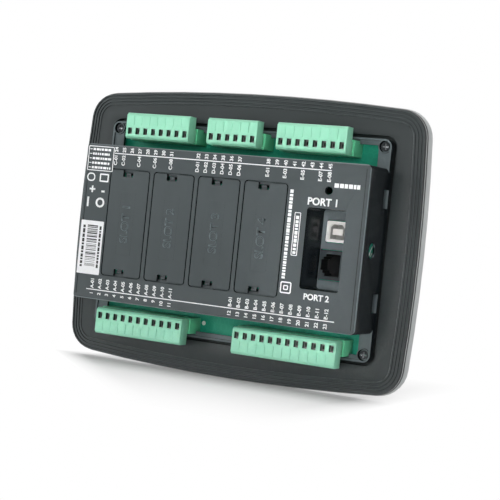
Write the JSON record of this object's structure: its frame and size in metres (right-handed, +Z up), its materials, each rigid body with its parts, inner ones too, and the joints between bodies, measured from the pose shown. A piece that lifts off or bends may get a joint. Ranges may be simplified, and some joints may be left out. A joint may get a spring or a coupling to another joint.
{
  "type": "genset controller",
  "caption": "Panel-mounted controller for a generator set: bowed front bezel with display and keys, gasketed flange, raised rear housing with option slots, ports and plug-in terminals.",
  "frame": {"origin": "centre of the panel cut-out, on the front face of the panel where the gasket lips press", "axes": "+X right as seen from the front, +Y out of the back through the panel, +Z up"},
  "size_m": [0.213, 0.0422, 0.159],
  "materials": {
    "bezel_grey": "fine satin moulding",
    "facia_film": "satin film",
    "window_pane": "clear",
    "display_rim": "tinned sheet",
    "display_glass": "polarised glass",
    "backlight": "white moulding",
    "key_red": "satin",
    "key_green": "satin",
    "key_white": "satin",
    "key_grey": "satin",
    "switch_black": "moulded",
    "light_pipe": "clear moulding",
    "flange_black": "fine moulded texture",
    "gasket_rubber": "moulded rubber",
    "board_green": "solder mask",
    "housing_black": "fine moulded texture",
    "header_green": "satin",
    "plug_green": "satin",
    "tin": "tinned",
    "zinc": "zinc plated",
    "port_metal": "tinned shell",
    "port_white": "moulded",
    "jack_black": "moulded",
    "contact_gold": "gold plated",
    "screw_black": "black passivated",
    "relay_blue": "moulded",
    "part_black": "moulded",
    "capacitor_can": "sleeved can",
    "cell_steel": "nickel plated"
  },
  "bodies": {
    "case": {"front_bezel": "bezel_grey", "facia_film": "facia_film", "display_pane": "window_pane", "display_rim": "display_rim", "display_glass": "display_glass", "display_backlight": "backlight", "key_switches": "switch_black", "status_lights": "light_pipe", "mounting_flange": "flange_black", "panel_gasket": "gasket_rubber", "main_board": "board_green", "side_board": "board_green", "rear_housing": "housing_black", "option_sockets": "part_black", "header_pins": "tin", "data_port_shell": "port_metal", "data_port_insert": "port_white", "network_jack": "jack_black", "jack_contacts": "contact_gold", "case_screws": "screw_black", "output_relays": "relay_blue", "current_sensors": "part_black", "processor": "part_black", "supply_capacitors": "capacitor_can", "clock_cell": "cell_steel", "cell_holder": "part_black", "option_cover_1": "housing_black", "option_cover_2": "housing_black", "option_cover_3": "housing_black", "option_cover_4": "housing_black", "header_1": "header_green", "header_2": "header_green", "header_3": "header_green", "header_4": "header_green", "header_5": "header_green"},
    "plug_1_body": {"plug_1": "plug_green", "plug_screws_1": "zinc", "plug_clamps_1": "tin"},
    "plug_2_body": {"plug_2": "plug_green", "plug_screws_2": "zinc", "plug_clamps_2": "tin"},
    "plug_3_body": {"plug_3": "plug_green", "plug_screws_3": "zinc", "plug_clamps_3": "tin"},
    "plug_4_body": {"plug_4": "plug_green", "plug_screws_4": "zinc", "plug_clamps_4": "tin"},
    "plug_5_body": {"plug_5": "plug_green", "plug_screws_5": "zinc", "plug_clamps_5": "tin"},
    "key_stop_body": {"key_stop": "key_red"},
    "key_run_body": {"key_run": "key_green"},
    "key_auto_body": {"key_auto": "key_white"},
    "key_test_body": {"key_test": "key_white"},
    "key_up_body": {"key_up": "key_grey"},
    "key_down_body": {"key_down": "key_grey"},
    "key_left_body": {"key_left": "key_grey"},
    "key_right_body": {"key_right": "key_grey"}
  },
  "joints": [
    {"name": "plug_1_slide", "type": "slide", "parent": "case", "child": "plug_1_body", "axis": [0, 1, 0], "range_m": [0, 0.012]},
    {"name": "plug_2_slide", "type": "slide", "parent": "case", "child": "plug_2_body", "axis": [0, 1, 0], "range_m": [0, 0.012]},
    {"name": "plug_3_slide", "type": "slide", "parent": "case", "child": "plug_3_body", "axis": [0, 1, 0], "range_m": [0, 0.012]},
    {"name": "plug_4_slide", "type": "slide", "parent": "case", "child": "plug_4_body", "axis": [0, 1, 0], "range_m": [0, 0.012]},
    {"name": "plug_5_slide", "type": "slide", "parent": "case", "child": "plug_5_body", "axis": [0, 1, 0], "range_m": [0, 0.012]},
    {"name": "key_stop_press", "type": "slide", "parent": "case", "child": "key_stop_body", "axis": [0, 1, 0], "range_m": [0, 0.0008], "stiffness_N_per_m": 1500},
    {"name": "key_run_press", "type": "slide", "parent": "case", "child": "key_run_body", "axis": [0, 1, 0], "range_m": [0, 0.0008], "stiffness_N_per_m": 1500},
    {"name": "key_auto_press", "type": "slide", "parent": "case", "child": "key_auto_body", "axis": [0, 1, 0], "range_m": [0, 0.0008], "stiffness_N_per_m": 1500},
    {"name": "key_test_press", "type": "slide", "parent": "case", "child": "key_test_body", "axis": [0, 1, 0], "range_m": [0, 0.0008], "stiffness_N_per_m": 1500},
    {"name": "key_up_press", "type": "slide", "parent": "case", "child": "key_up_body", "axis": [0, 1, 0], "range_m": [0, 0.0008], "stiffness_N_per_m": 1500},
    {"name": "key_down_press", "type": "slide", "parent": "case", "child": "key_down_body", "axis": [0, 1, 0], "range_m": [0, 0.0008], "stiffness_N_per_m": 1500},
    {"name": "key_left_press", "type": "slide", "parent": "case", "child": "key_left_body", "axis": [0, 1, 0], "range_m": [0, 0.0008], "stiffness_N_per_m": 1500},
    {"name": "key_right_press", "type": "slide", "parent": "case", "child": "key_right_body", "axis": [0, 1, 0], "range_m": [0, 0.0008], "stiffness_N_per_m": 1500}
  ]
}
